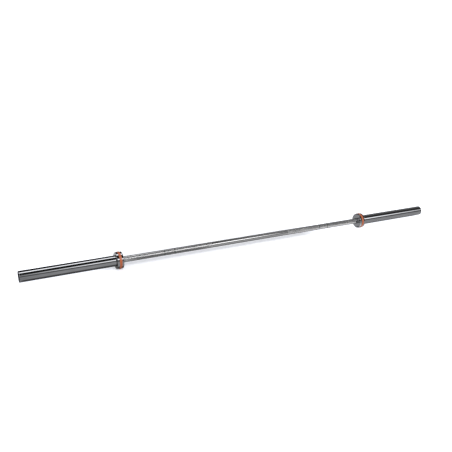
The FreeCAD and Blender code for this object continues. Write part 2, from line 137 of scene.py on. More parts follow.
class BarbellSleeve(bpy.types.PropertyGroup):
    segments: IntProperty(name="Segments", default=144, min=32, max=256,
                          description="Faces round a turned piece")
    diameter: length("Sleeve", "Outside of the sleeve, which takes the plates", 50)
    end_bevel: length("End bevel", "Bevel round the sleeve's outer end", 2)
    mouth_bevel: length("Mouth bevel", "Bevel round the hole in the sleeve's outer end", 0.8)
    relief_width: length("Relief width", "Width of the grinding relief beside the collar", 2)
    relief_depth: length("Relief depth", "Depth of the grinding relief", 0.3)
    chamber_step: length("Chamber step", "From the bearing bore out to the end chamber", 1)
    rim_rounding: length("Collar rounding", "Rounding of the collar's inner rim", 3)
    rim_bevel: length("Collar bevel", "Bevel of the collar's outer rim", 1)
    lip_bevel: length("Lip bevel", "Bevel of the collar's hole round the shaft", 0.5)
    groove_bevel: length("Groove bevel", "Bevel of the collar's edges beside the band", 0.3)
    band_rounding: length("Band rounding", "Rounding of the band's edges", 1.2)
    cap_rim: length("Cap rim", "Raised rim round the end cap's dish", 3)
    cap_dish: length("Cap dish", "Depth of the dish in the end cap", 0.8)
    ring_width: length("Ring width", "From a cap circlip's bore to its rim", 3)
    ring_gap: length("Ring gap", "Opening between the ends of a retaining ring", 4)
    lug_radius: length("Lug radius", "Radius of a retaining ring's lug", 2.2)
    lug_hole_radius: length("Lug hole", "Radius of the plier hole in a lug", 0.9)
    ring_bevel: length("Ring bevel", "Softened edge of a stamped retaining ring", 0.15)


class BarbellColours(bpy.types.PropertyGroup):
    chrome: colour("Chrome", "Hard chrome of the sleeves and collars", "#7D7E81")
    shaft_chrome: colour("Shaft chrome", "Chrome of the shaft", "#8E8E8F")
    band: colour("Band", "Satin orange of the collar bands", "#A5552F")
    oxide: colour("Oxide", "Black oxide of the end caps", "#1E1F22")
    phosphate: colour("Phosphate", "Phosphate of the retaining rings", "#34353A")
    bronze: colour("Bronze", "Bronze of the bushings and washers", "#B08A4E")
    steel: colour("Bearing steel", "Ground steel of the bearings", "#B4B6BA")
    rubber: colour("Rubber", "Black rubber of the dust seals", "#17171A")
    paper: colour("Paper", "Studio floor", "#E6E6E8")
    paper_glow: colour("Paper glow", "Tint of the light that lifts the floor to white", "#EEF2FB")


class BarbellStage(bpy.types.PropertyGroup):
    camera_place: FloatVectorProperty(
        name="Camera", description="Where the camera stands", size=3, unit="LENGTH",
        default=(-1.35934, -2.44051, 0.95788))
    camera_yaw: FloatProperty(name="Yaw", description="Camera's turn to the right", subtype="ANGLE",
                              default=math.radians(26.657))
    camera_pitch: FloatProperty(name="Pitch", description="Camera's tilt down", subtype="ANGLE",
                                default=math.radians(17.756))
    camera_lens: FloatProperty(name="Lens", description="Focal length in millimetres on a 36 mm sensor",
                               default=47.52, min=1)
    lamp_power: FloatProperty(name="Lamp", description="Power of the softbox", default=84, unit="POWER",
                              min=0)


# Modelling


def start_piece(name):
    """Name the new primitive, which is then the active object."""
    piece = bpy.context.object
    piece.name = name
    piece.data.name = name
    return piece


def lathe(name, outline, segments):
    """Draw an outline of stations and radii point by point and spin it once round the bar's axis."""
    bpy.ops.object.select_all(action="DESELECT")
    bpy.ops.mesh.primitive_plane_add(size=MM, enter_editmode=True)
    piece = start_piece(name)
    bpy.ops.mesh.select_mode(type="VERT")
    bpy.ops.mesh.merge(type="CENTER")
    here = Vector(MIDDLE)
    for number, (station, radius) in enumerate(outline):
        there = Vector((station, 0, radius))
        if number == 0:
            bpy.ops.transform.translate(value=there - here)
        else:
            bpy.ops.mesh.extrude_region_move(TRANSFORM_OT_translate={"value": there - here})
        here = there
    bpy.ops.mesh.select_all(action="SELECT")
    bpy.ops.mesh.spin(steps=segments, angle=math.tau, center=MIDDLE, axis=AXIS)
    bpy.ops.mesh.select_all(action="SELECT")
    bpy.ops.mesh.remove_doubles(threshold=MERGE_DISTANCE)
    bpy.ops.mesh.normals_make_consistent(inside=False)
    return piece


def on_rim(point, rim):
    """Whether a point lies on the circle round the axis at a station and radius."""
    station, radius = rim
    on_radius = abs(off_axis(point) - radius) < RIM_TOLERANCE
    return on_radius and abs(point.x - station) < RIM_TOLERANCE


def select_edges(piece, wanted):
    """In edit mode, select the edges whose two ends pass a test together."""
    bpy.ops.mesh.select_mode(type="EDGE")
    bpy.ops.mesh.select_all(action="DESELECT")
    mesh = bmesh.from_edit_mesh(piece.data)
    for edge in mesh.edges:
        edge.select_set(wanted(*(corner.co for corner in edge.verts)))
    if not any(edge.select for edge in mesh.edges):
        raise RuntimeError(f"{piece.name} has no such edge")
    bmesh.update_edit_mesh(piece.data)


def select_rims(piece, rims):
    """Select the edges that run round the axis at the given stations and radii."""
    select_edges(piece, lambda *ends: any(all(on_rim(end, rim) for end in ends) for rim in rims))


def bevel_rims(piece, rims, width, segments):
    """Bevel the edges that run round the axis at the given stations and radii."""
    select_rims(piece, rims)
    bpy.ops.mesh.bevel(offset=width, segments=segments, affect="EDGES")


def select_points(piece, wanted):
    """In edit mode, select the vertices whose places pass a test."""
    bpy.ops.mesh.select_mode(type="VERT")
    bpy.ops.mesh.select_all(action="DESELECT")
    mesh = bmesh.from_edit_mesh(piece.data)
    for vertex in mesh.verts:
        vertex.select_set(wanted(vertex.co))
    mesh.select_flush(True)
    bmesh.update_edit_mesh(piece.data)


def apply_modifier(piece, kind, **settings):
    """Add a modifier with its settings to the active piece and apply it."""
    modifier = piece.modifiers.new(kind.title(), kind)
    for name, value in settings.items():
        setattr(modifier, name, value)
    bpy.ops.object.modifier_apply(modifier=modifier.name)


def join(piece, tool, operation):
    """Add a tool's shape to a piece or cut it out, and delete the tool."""
    bpy.context.view_layer.objects.active = piece
    apply_modifier(piece, "BOOLEAN", object=tool, operation=operation, solver="EXACT")
    bpy.data.objects.remove(tool)


def smooth_piece(piece, angle=SMOOTH_ANGLE):
    """Merge doubles, point faces outwards, and shade smooth all edges that are under an angle."""
    if bpy.context.mode != "OBJECT":
        bpy.ops.object.mode_set(mode="OBJECT")
    bpy.ops.object.select_all(action="DESELECT")
    piece.select_set(True)
    bpy.context.view_layer.objects.active = piece
    bpy.ops.object.mode_set(mode="EDIT")
    bpy.ops.mesh.select_all(action="SELECT")
    bpy.ops.mesh.remove_doubles(threshold=MERGE_DISTANCE)
    bpy.ops.mesh.normals_make_consistent(inside=False)
    bpy.ops.object.mode_set(mode="OBJECT")
    bpy.ops.object.shade_smooth_by_angle(angle=angle)
    apply_modifier(piece, "WEIGHTED_NORMAL", keep_sharp=True)


def left_copy(piece):
    """Copy a piece of the right end with its own mesh and turn it to the left end."""
    bpy.ops.object.select_all(action="DESELECT")
    piece.select_set(True)
    bpy.context.view_layer.objects.active = piece
    bpy.ops.object.duplicate(linked=False)
    twin = start_piece(piece.name.replace("right", "left"))
    bpy.ops.transform.rotate(value=math.pi, orient_axis="Z", center_override=MIDDLE)
    bpy.ops.object.transform_apply(location=True, rotation=True, scale=True)
    return twin


def place_piece(piece, material, body, node):
    """Give a piece its finish, its body and the CAD node that it stands for."""
    piece.data.materials.clear()
    piece.data.materials.append(material)
    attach(piece, body)
    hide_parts(node)


def place_pair(piece, material, node):
    """Finish a sleeve's piece and its left copy, which both turn with their sleeves."""
    smooth_piece(piece)
    for side, one in (("right", piece), ("left", left_copy(piece))):
        place_piece(one, material, f"{side}_sleeve_unit", f"{side}_{node}")


# Materials


def new_material(name):
    """A new material and its node tree, which is empty."""
    material = bpy.data.materials.new(name)
    material.use_nodes = True
    material.node_tree.nodes.clear()
    return material, material.node_tree


def add_node(tree, kind, inputs=None, **settings):
    """Add one node with its settings, and set its inputs or link them to a socket or another node."""
    node = tree.nodes.new(f"ShaderNode{kind}")
    for name, value in settings.items():
        setattr(node, name, value)
    for socket, value in (inputs or {}).items():
        if isinstance(value, bpy.types.Node):
            value = next(output for output in value.outputs if output.enabled)
        if isinstance(value, bpy.types.NodeSocket):
            tree.links.new(value, node.inputs[socket])
        else:
            node.inputs[socket].default_value = value
    return node


def shade(colour_value, gain):
    """The same colour, lighter or darker by a gain on its linear values."""
    return [min(1.0, part * gain) for part in colour_value[:3]] + [1.0]


def streaks(tree, along, across, detail=2.0):
    """Blotches from 0 to 1 on Object coordinates, with one size along the bar and one across it."""
    place = add_node(tree, "TexCoord").outputs["Object"]
    scaled = add_node(tree, "Mapping", {
        "Vector": place, "Scale": (1 / along, 1 / across, 1 / across)})
    noise = add_node(tree, "TexNoise", {"Vector": scaled, "Scale": 1.0, "Detail": detail})
    return add_node(tree, "MapRange", {"Value": noise, "From Min": NOISE_LOW, "From Max": NOISE_HIGH})


def ground_hard_chrome(colours):
    """Steel ground round the axis and hard-chromed: mirror stripes softened by fine ring lines."""
    name = "Hard_chrome_ground_and_polished"
    if name in bpy.data.materials:
        return bpy.data.materials[name]
    material, tree = new_material(name)
    # Grinding lines are about 0.05 mm apart; they are drawn 0.5 mm apart so that they show close up.
    lines = streaks(tree, along=0.5 * MM, across=40 * MM, detail=3.0)
    # Plates slide along the sleeve and leave hairlines lengthwise, 1.5 mm apart and long.
    hairlines = streaks(tree, along=260 * MM, across=1.5 * MM)
    smudges = streaks(tree, along=45 * MM, across=30 * MM)
    # Roughness of the bare polish, to which each kind of mark adds its share
    roughness = 0.035
    for marks, share in ((lines, 0.025), (hairlines, 0.025), (smudges, 0.012)):
        roughness = add_node(tree, "Math", {0: marks, 1: share, 2: roughness}, operation="MULTIPLY_ADD")
    tone = add_node(tree, "Mix", {
        "Factor": smudges, "A": shade(colours.chrome, 0.95), "B": shade(colours.chrome, 1.05)},
        data_type="RGBA")
    relief = add_node(tree, "Bump", {"Strength": 0.03, "Distance": 0.004 * MM, "Height": lines})
    surface = add_node(tree, "BsdfPrincipled", {
        "Base Color": tone, "Metallic": 1.0, "Roughness": roughness, "Normal": relief})
    add_node(tree, "OutputMaterial", {"Surface": surface})
    return material


def knurled_chrome(colours, shaft, grip):
    """Chromed bar steel: mirror where smooth, painted highlight on knurl points, painted shade in cuts.
    """
    material, tree = new_material("Bright_chrome_on_knurled_steel")
    place = add_node(tree, "TexCoord").outputs["Object"]
    across = add_node(tree, "VectorMath", {0: place, 1: (0, 1, 1)}, operation="MULTIPLY")
    radius = add_node(tree, "VectorMath", {0: across}, operation="LENGTH")
    depth = add_node(tree, "MapRange", {
        "Value": radius, "From Min": grip, "From Max": grip - shaft.knurl_cut})
    mark = add_node(tree, "Math", {
        0: radius, 1: grip - (shaft.knurl_cut + shaft.mark_depth) / 2}, operation="LESS_THAN")
    station = add_node(tree, "SeparateXYZ", {"Vector": place}).outputs["X"]
    off_middle = add_node(tree, "Math", {0: station}, operation="ABSOLUTE")
    knurl_end = turned_size("right_collar").start - shaft.knurl_end_gap
    zone_middle = (shaft.smooth_middle / 2 + knurl_end) / 2
    knurled = add_node(tree, "Math", {
        0: off_middle, 1: zone_middle, 2: knurl_end - zone_middle}, operation="COMPARE")
    # Polishing lines are about 0.05 mm apart; they are drawn 0.4 mm apart so that they show close up.
    lines = streaks(tree, along=0.4 * MM, across=30 * MM, detail=3.0)
    # Roughness of the bare polish, to which the lines and the knurl add their shares
    roughness = 0.07
    for marks, share in ((lines, 0.06), (knurled, 0.2)):
        roughness = add_node(tree, "Math", {0: marks, 1: share, 2: roughness}, operation="MULTIPLY_ADD")
    # The knurl's points are painted lighter than the chrome, a painted highlight; its cuts are painted
    # darker and the grip marks darker still, as painted shade.
    painted_highlight_tone, painted_cut_shade, painted_mark_shade = [shade(colours.shaft_chrome, gain) for gain in (2.2, 0.4, 0.1)]
    cut = add_node(tree, "Mix", {"Factor": depth, "A": painted_highlight_tone, "B": painted_cut_shade}, data_type="RGBA")
    with_painted_shade = add_node(tree, "Mix", {"Factor": mark, "A": cut, "B": painted_mark_shade}, data_type="RGBA")
    tone = add_node(tree, "Mix", {
        "Factor": knurled, "A": list(colours.shaft_chrome), "B": with_painted_shade}, data_type="RGBA")
    relief = add_node(tree, "Bump", {"Strength": 0.05, "Distance": 0.008 * MM, "Height": lines})
    surface = add_node(tree, "BsdfPrincipled", {
        "Base Color": tone, "Metallic": 1.0, "Roughness": roughness, "Normal": relief})
    add_node(tree, "OutputMaterial", {"Surface": surface})
    return material


def cast_urethane(colours, band):
    """Satin copper-orange urethane: soft highlight, slight mottling, paler along its worn edges."""
    material, tree = new_material("Cast_urethane_satin_orange")
    mottling = streaks(tree, along=3 * MM, across=3 * MM, detail=4.0)
    # The skin's grain is about 0.1 mm wide; it is drawn 0.35 mm wide so that it shows close up.
    grain = streaks(tree, along=0.35 * MM, across=0.35 * MM, detail=1.0)
    place = add_node(tree, "TexCoord").outputs["Object"]
    station = add_node(tree, "SeparateXYZ", {"Vector": place}).outputs["X"]
    along = add_node(tree, "Math", {0: station}, operation="ABSOLUTE")
    middle = (band.start + band.end) / 2
    from_middle = add_node(tree, "Math", {0: along, 1: middle}, operation="SUBTRACT")
    off_middle = add_node(tree, "Math", {0: from_middle}, operation="ABSOLUTE")
    edge = (band.end - band.start) / 2
    worn_width = 1.4 * MM
    wear = add_node(tree, "MapRange", {
        "Value": off_middle, "From Min": edge - worn_width, "From Max": edge, "To Max": 0.35})
    mottled = add_node(tree, "Mix", {
        "Factor": mottling, "A": shade(colours.band, 0.93), "B": shade(colours.band, 1.07)},
        data_type="RGBA")
    tone = add_node(tree, "Mix", {
        "Factor": wear, "A": mottled, "B": shade(colours.band, 1.35)}, data_type="RGBA")
    sheen = add_node(tree, "MapRange", {"Value": mottling, "To Min": 0.42, "To Max": 0.54})
    relief = add_node(tree, "Bump", {"Strength": 0.25, "Distance": 0.02 * MM, "Height": grain})
    surface = add_node(tree, "BsdfPrincipled", {
        "Base Color": tone, "Roughness": sheen, "IOR": 1.5, "Normal": relief})
    add_node(tree, "OutputMaterial", {"Surface": surface})
    return material


def turned_metal(name, colour_value, smoothest, roughest, spacing):
    """Turned or ground metal: faint rings round the axis that catch the light."""
    material, tree = new_material(name)
    # The tool's rings are 0.1 mm apart or closer; the spacing is coarser so that they show close up.
    rings = streaks(tree, along=spacing, across=25 * MM, detail=3.0)
    blotches = streaks(tree, along=8 * MM, across=8 * MM, detail=3.0)
    tone = add_node(tree, "Mix", {
        "Factor": blotches, "A": shade(colour_value, 0.88), "B": shade(colour_value, 1.12)},
        data_type="RGBA")
    sheen = add_node(tree, "MapRange", {"Value": rings, "To Min": smoothest, "To Max": roughest})
    relief = add_node(tree, "Bump", {"Strength": 0.12, "Distance": 0.008 * MM, "Height": rings})
    surface = add_node(tree, "BsdfPrincipled", {
        "Base Color": tone, "Metallic": 1.0, "Roughness": sheen, "Normal": relief})
    add_node(tree, "OutputMaterial", {"Surface": surface})
    return material


def blackened_steel(name, colour_value, smoothest, roughest):
    """Steel blackened in hot salts or phosphated: near black with a soft oily sheen, finely mottled."""
    if name in bpy.data.materials:
        return bpy.data.materials[name]
    material, tree = new_material(name)
    mottling = streaks(tree, along=1.2 * MM, across=1.2 * MM, detail=4.0)
    # The coat's grain is finer than 0.05 mm; it is drawn 0.25 mm wide so that it shows close up.
    grain = streaks(tree, along=0.25 * MM, across=0.25 * MM, detail=1.0)
    tone = add_node(tree, "Mix", {
        "Factor": mottling, "A": shade(colour_value, 0.8), "B": shade(colour_value, 1.25)},
        data_type="RGBA")
    sheen = add_node(tree, "MapRange", {"Value": mottling, "To Min": smoothest, "To Max": roughest})
    relief = add_node(tree, "Bump", {"Strength": 0.2, "Distance": 0.012 * MM, "Height": grain})
    surface = add_node(tree, "BsdfPrincipled", {
        "Base Color": tone, "Roughness": sheen, "IOR": 1.6, "Normal": relief})
    add_node(tree, "OutputMaterial", {"Surface": surface})
    return material


def phosphated_spring_steel(colours):
    """Spring steel with a dark grey phosphate coat, duller than oxide."""
    return blackened_steel("Spring_steel_phosphated", colours.phosphate, smoothest=0.4, roughest=0.55)


def nitrile_rubber(colours):
    """Moulded nitrile rubber: matt black, with a fine grain from its mould."""
    material, tree = new_material("Nitrile_rubber_moulded")
    # The mould's grain is about 0.1 mm wide; it is drawn 0.3 mm wide so that it shows close up.
    grain = streaks(tree, along=0.3 * MM, across=0.3 * MM)
    tone = add_node(tree, "Mix", {
        "Factor": grain, "A": shade(colours.rubber, 0.85), "B": shade(colours.rubber, 1.2)},
        data_type="RGBA")
    sheen = add_node(tree, "MapRange", {"Value": grain, "To Min": 0.62, "To Max": 0.78})
    relief = add_node(tree, "Bump", {"Strength": 0.3, "Distance": 0.02 * MM, "Height": grain})
    surface = add_node(tree, "BsdfPrincipled", {
        "Base Color": tone, "Roughness": sheen, "IOR": 1.52, "Normal": relief})
    add_node(tree, "OutputMaterial", {"Surface": surface})
    return material


# Pieces


class BARBELL_OT_shaft(bpy.types.Operator):
    """Turn the shaft in one piece and press the diamond knurl into its grip"""

    bl_idname = "barbell.shaft"
    bl_label = "Knurled Shaft"

    def execute(self, context):
        shaft = context.scene.barbell_shaft
        bar = turned_size("shaft")
        grip = bar.outer
        zones = self.knurl_zones(shaft)
        half = self.half_outline(shaft, bar, zones)
        outline = [(-station, radius) for station, radius in reversed(half)] + half
        piece = lathe("knurled_shaft", outline, shaft.knurl_columns)
        journal = shaft.journal_diameter / 2
        bevel_rims(piece, [(bar.end, journal), (bar.start, journal)], shaft.end_bevel, segments=2)
        self.press_knurl(piece, shaft, grip, zones)
        smooth_piece(piece, KNURL_SMOOTH_ANGLE)
        material = knurled_chrome(context.scene.barbell_colours, shaft, grip)
        place_piece(piece, material, "shaft_unit", "shaft")
        return {"FINISHED"}

    @staticmethod
    def knurl_zones(shaft):
        """Rows of each knurled stretch of the right half: between the middle, the marks and the end."""
        first_mark = (shaft.mark_spacing - shaft.mark_width) / 2
        second_mark = first_mark + shaft.mark_step
        knurl_end = turned_size("right_collar").start - shaft.knurl_end_gap
        spans = (
            (shaft.smooth_middle / 2, first_mark),
            (first_mark + shaft.mark_width, second_mark),
            (second_mark + shaft.mark_width, knurl_end),
        )
        zones = []
        for start, end in spans:
            count = round((end - start) / shaft.knurl_row)
            zones.append([start + (end - start) * row / count for row in range(count + 1)])
        return zones

    @staticmethod
    def half_outline(shaft, bar, zones):
        """Outline of the right half: knurl rows, marks, shoulder, journal and ring groove."""
        grip = bar.outer
        journal = shaft.journal_diameter / 2
        ring = turned_size("right_shaft_retaining_ring")
        shoulder = turned_size("right_inner_thrust_washer").start
        mark_floor = grip - shaft.mark_depth
        groove = journal - shaft.ring_groove
        outline = []
        for zone in zones:
            if outline:
                outline += [(outline[-1][0], mark_floor), (zone[0], mark_floor)]
            outline += [(row, grip) for row in zone]
        outline += [(shoulder, grip), (shoulder, journal), (ring.start, journal), (ring.start, groove),
                    (ring.end, groove), (ring.end, journal), (bar.end, journal), (bar.end, 0)]
        return outline

    @staticmethod
    def press_knurl(piece, shaft, grip, zones):
        """Raise and sink the inner rows of each stretch in turn, as on a chessboard."""
        row_numbers = {}
        for zone in zones:
            for number, row in enumerate(zone[1:-1], 1):
                row_numbers[round(row / RIM_TOLERANCE)] = number
        column_step = math.tau / shaft.knurl_columns

        def parity(point):
            """Even or odd for a point of the knurl's inner rows, and nothing for any other point."""
            if abs(off_axis(point) - grip) > RIM_TOLERANCE:
                return None
            key = round(abs(point.x) / RIM_TOLERANCE)
            near = [row_numbers[k] for k in (key - 1, key, key + 1) if k in row_numbers]
            if not near:
                return None
            return (near[0] + round(math.atan2(point.y, point.z) / column_step)) % 2

        for wanted, radius in ((0, grip + shaft.knurl_rise), (1, grip - shaft.knurl_cut)):
            select_points(piece, lambda point: parity(point) == wanted)
            gain = radius / grip
            bpy.ops.transform.resize(value=(1, gain, gain), center_override=MIDDLE)
        # Faces beside a raised point are split, so that it is a pyramid on a diamond of valleys.
        bpy.ops.mesh.select_mode(type="FACE")
        bpy.ops.mesh.select_all(action="DESELECT")
        mesh = bmesh.from_edit_mesh(piece.data)
        for face in mesh.faces:
            radii = [off_axis(corner.co) for corner in face.verts]
            face.select_set(max(radii) > grip + shaft.knurl_rise / 2)
        bmesh.update_edit_mesh(piece.data)
        bpy.ops.mesh.quads_convert_to_tris(quad_method="SHORTEST_DIAGONAL")
        # The ends of each stretch and the valleys stay sharp.
        edge_rows = [row for zone in zones for row in (zone[0], zone[-1])]
        select_rims(piece, [(side * row, grip) for row in edge_rows for side in (-1, 1)])
        bpy.ops.mesh.mark_sharp()
        valley = grip - shaft.knurl_cut
        select_edges(piece, lambda *ends: all(
            abs(off_axis(end) - valley) < RIM_TOLERANCE for end in ends))
        bpy.ops.mesh.mark_sharp()


class BARBELL_OT_sleeves(bpy.types.Operator):
    """Turn the sleeves, with the collar's seat, the relief, the bore and the end cap's seat"""

    bl_idname = "barbell.sleeves"
    bl_label = "Chromed Sleeves"

    def execute(self, context):
        sizes = context.scene.barbell_sleeve
        sleeve = turned_size("right_sleeve")
        collar = turned_size("right_collar")
        bushing = turned_size("right_outer_bushing")
        cap = turned_size("right_end_cap")
        ring = turned_size("right_cap_retaining_ring")
        wall = sizes.diameter / 2
        chamber = bushing.outer + sizes.chamber_step
        relief = wall - sizes.relief_depth
        relief_end = collar.end + sizes.relief_width
        outline = [
            (sleeve.start, bushing.outer), (bushing.end, bushing.outer), (bushing.end, chamber),
            (cap.start, chamber), (cap.start, cap.outer), (ring.start, cap.outer),
            (ring.start, ring.outer), (ring.end, ring.outer), (ring.end, cap.outer),
            (sleeve.end, cap.outer), (sleeve.end, wall), (relief_end, wall), (relief_end, relief),
            (collar.end, relief), (collar.end, sleeve.outer), (sleeve.start, sleeve.outer),
        ]
        piece = lathe("right_chrome_sleeve", outline + outline[:1], sizes.segments)
        bevel_rims(piece, [(sleeve.end, wall)], sizes.end_bevel, segments=4)
        bevel_rims(piece, [(sleeve.end, cap.outer)], sizes.mouth_bevel, segments=2)
        bevel_rims(piece, [(relief_end, wall)], sizes.relief_depth / 2, segments=2)
        material = ground_hard_chrome(context.scene.barbell_colours)
        place_pair(piece, material, "sleeve")
        return {"FINISHED"}


class BARBELL_OT_collars(bpy.types.Operator):
    """Turn the collars, with a lip round the shaft, the seal's pocket and the band's groove"""

    bl_idname = "barbell.collars"
    bl_label = "Collars"

    def execute(self, context):
        sizes = context.scene.barbell_sleeve
        collar = turned_size("right_collar")
        sleeve = turned_size("right_sleeve")
        seal = turned_size("right_dust_seal")
        band = turned_size("right_collar_band")
        outline = [
            (collar.start, collar.inner), (seal.start, collar.inner), (seal.start, seal.outer),
            (sleeve.start, seal.outer), (sleeve.start, sleeve.outer), (collar.end, sleeve.outer),
            (collar.end, collar.outer), (band.end, collar.outer), (band.end, band.inner),
            (band.start, band.inner), (band.start, collar.outer), (collar.start, collar.outer),
        ]
        piece = lathe("right_collar_ring", outline + outline[:1], sizes.segments)
        bevel_rims(piece, [(collar.start, collar.outer)], sizes.rim_rounding, segments=8)
        bevel_rims(piece, [(collar.end, collar.outer)], sizes.rim_bevel, segments=3)
        bevel_rims(piece, [(collar.start, collar.inner)], sizes.lip_bevel, segments=2)
        groove_rims = [(band.start, collar.outer), (band.end, collar.outer)]
        bevel_rims(piece, groove_rims, sizes.groove_bevel, segments=2)
        material = ground_hard_chrome(context.scene.barbell_colours)
        place_pair(piece, material, "collar")
        return {"FINISHED"}


class BARBELL_OT_bands(bpy.types.Operator):
    """Turn the coloured bands that sit in the collars' grooves"""

    bl_idname = "barbell.bands"
    bl_label = "Orange Bands"

    def execute(self, context):
        sizes = context.scene.barbell_sleeve
        band = turned_size("right_collar_band")
        outline = [(band.start, band.inner), (band.end, band.inner),
                   (band.end, band.outer), (band.start, band.outer)]
        piece = lathe("right_orange_band", outline + outline[:1], sizes.segments)
        rims = [(band.start, band.outer), (band.end, band.outer)]
        bevel_rims(piece, rims, sizes.band_rounding, segments=6)
        material = cast_urethane(context.scene.barbell_colours, band)
        place_pair(piece, material, "collar_band")
        return {"FINISHED"}


class BARBELL_OT_end_caps(bpy.types.Operator):
    """Turn the dished black caps that close the sleeves"""

    bl_idname = "barbell.end_caps"
    bl_label = "End Caps"

    def execute(self, context):
        sizes = context.scene.barbell_sleeve
        cap = turned_size("right_end_cap")
        ring_bore = turned_size("right_cap_retaining_ring").outer - sizes.ring_width
        dish = ring_bore - sizes.cap_rim
        floor = cap.end - sizes.cap_dish
        outline = [(cap.start, 0), (cap.start, cap.outer), (cap.end, cap.outer),
                   (cap.end, dish + sizes.cap_dish), (floor, dish), (floor, 0)]
        piece = lathe("right_black_end_cap", outline, sizes.segments)
        rims = [(cap.end, dish + sizes.cap_dish), (floor, dish)]
        bevel_rims(piece, rims, sizes.cap_dish / 4, segments=3)
        oxide = context.scene.barbell_colours.oxide
        material = blackened_steel("Steel_black_oxide", oxide, smoothest=0.3, roughest=0.46)
        place_pair(piece, material, "end_cap")
        return {"FINISHED"}


class BARBELL_OT_circlips(bpy.types.Operator):
    """Turn the rings that hold the end caps, cut their openings and add the drilled lugs"""

    bl_idname = "barbell.circlips"
    bl_label = "End Cap Circlips"

    def execute(self, context):
        sizes = context.scene.barbell_sleeve
        ring = turned_size("right_cap_retaining_ring")
        bore = ring.outer - sizes.ring_width
        middle = (ring.start + ring.end) / 2
        thickness = ring.end - ring.start
        # A cutter is twice as thick as the ring, so that it passes right through.
        through = 2 * thickness
        # Each lug stands beside the opening, its middle a quarter of its radius inside the bore.
        sideways = sizes.ring_gap / 2 + sizes.lug_radius
        height = bore - sizes.lug_radius / 4
        outline = [(ring.start, bore), (ring.end, bore),
                   (ring.end, ring.outer), (ring.start, ring.outer)]
        piece = lathe("right_cap_circlip", outline + outline[:1], sizes.segments)
        bpy.ops.object.mode_set(mode="OBJECT")
        bpy.ops.mesh.primitive_cube_add(size=1, location=(middle, 0, ring.outer))
        opening = bpy.context.object
        opening.scale = (through, 2 * sideways, ring.outer)
        join(piece, opening, "DIFFERENCE")
        for reach, depth, operation in ((sizes.lug_radius, thickness, "UNION"),
                                        (sizes.lug_hole_radius, through, "DIFFERENCE")):
            for across in (-sideways, sideways):
                bpy.ops.mesh.primitive_cylinder_add(
                    vertices=LUG_SEGMENTS, radius=reach, depth=depth,
                    location=(middle, across, height), rotation=LAID_ALONG_BAR)
                join(piece, bpy.context.object, operation)
        apply_modifier(piece, "BEVEL", width=sizes.ring_bevel, segments=2, limit_method="ANGLE",
                       angle_limit=STAMPED_EDGE_ANGLE)
        material = phosphated_spring_steel(context.scene.barbell_colours)
        place_pair(piece, material, "cap_retaining_ring")
        return {"FINISHED"}


class BARBELL_OT_inner_works(bpy.types.Operator):
    """Give the bearings, bushings, washers, rings and seals inside the sleeves their finishes"""

    bl_idname = "barbell.inner_works"
    bl_label = "Inner Works"

    def execute(self, context):
        colours = context.scene.barbell_colours
        bronze = turned_metal("Bronze_turned", colours.bronze, smoothest=0.22, roughest=0.36,
                              spacing=0.3 * MM)
        steel = turned_metal("Bearing_steel_ground", colours.steel, smoothest=0.12, roughest=0.24,
                             spacing=0.2 * MM)
        rubber = nitrile_rubber(colours)
        phosphate = phosphated_spring_steel(colours)
        finishes = {
            "bushing": bronze, "thrust_washer": bronze, "bearing_cup": steel, "bearing_cage": steel,
            "bearing_needles": steel, "shaft_retaining_ring": phosphate, "dust_seal": rubber,
        }
        for name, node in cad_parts.items():
            for ending, material in finishes.items():
                if name.endswith(ending):
                    for slot in node.material_slots:
                        slot.material = material
        return {"FINISHED"}


# Stage

Card = namedtuple("Card", "name middle size tilt turn brightness fades")
ROUND_SEGMENTS = 96
FLOOR_HEIGHT = CAD_BOX[0][2]
FLOOR_RADIUS = 40
# The floor glows little in an oval round the bar, where the lamp lights it, and fully beyond it.
OVAL_SHIFT = (0.128, 0, 0)
OVAL_SCALE = (0.8, 1, 0)
OVAL_REACH = 0.4
OVAL_GLOW = 0.42
FULL_GLOW_REACH = 0.5
FULL_GLOW = 1.1
# The hood's left grading gives way to its right one between two stations. Its ends brighten upwards.
HOOD_RADIUS = 2.8
HOOD_LENGTH = 12
LEFT_GRADING_END = -0.4
RIGHT_GRADING_START = 2.5
ENDS_DARK_BELOW = 0.4
ENDS_BRIGHT_ABOVE = 1.0
ENDS_DARK = 0.1
ENDS_BRIGHT = 0.8
LAMP_PLACE = (0, -2.38, 2.14)
LAMP_TILT = math.radians(48)
LAMP_LENGTH = 3.2
LAMP_WIDTH = 1.0
# The sky's light on matt pieces, and its white to the eye: over one, so that noise can't grey it
SKY_ON_PIECES = 0.5
SKY_TO_EYE = 1.1
SENSOR_WIDTH = 36


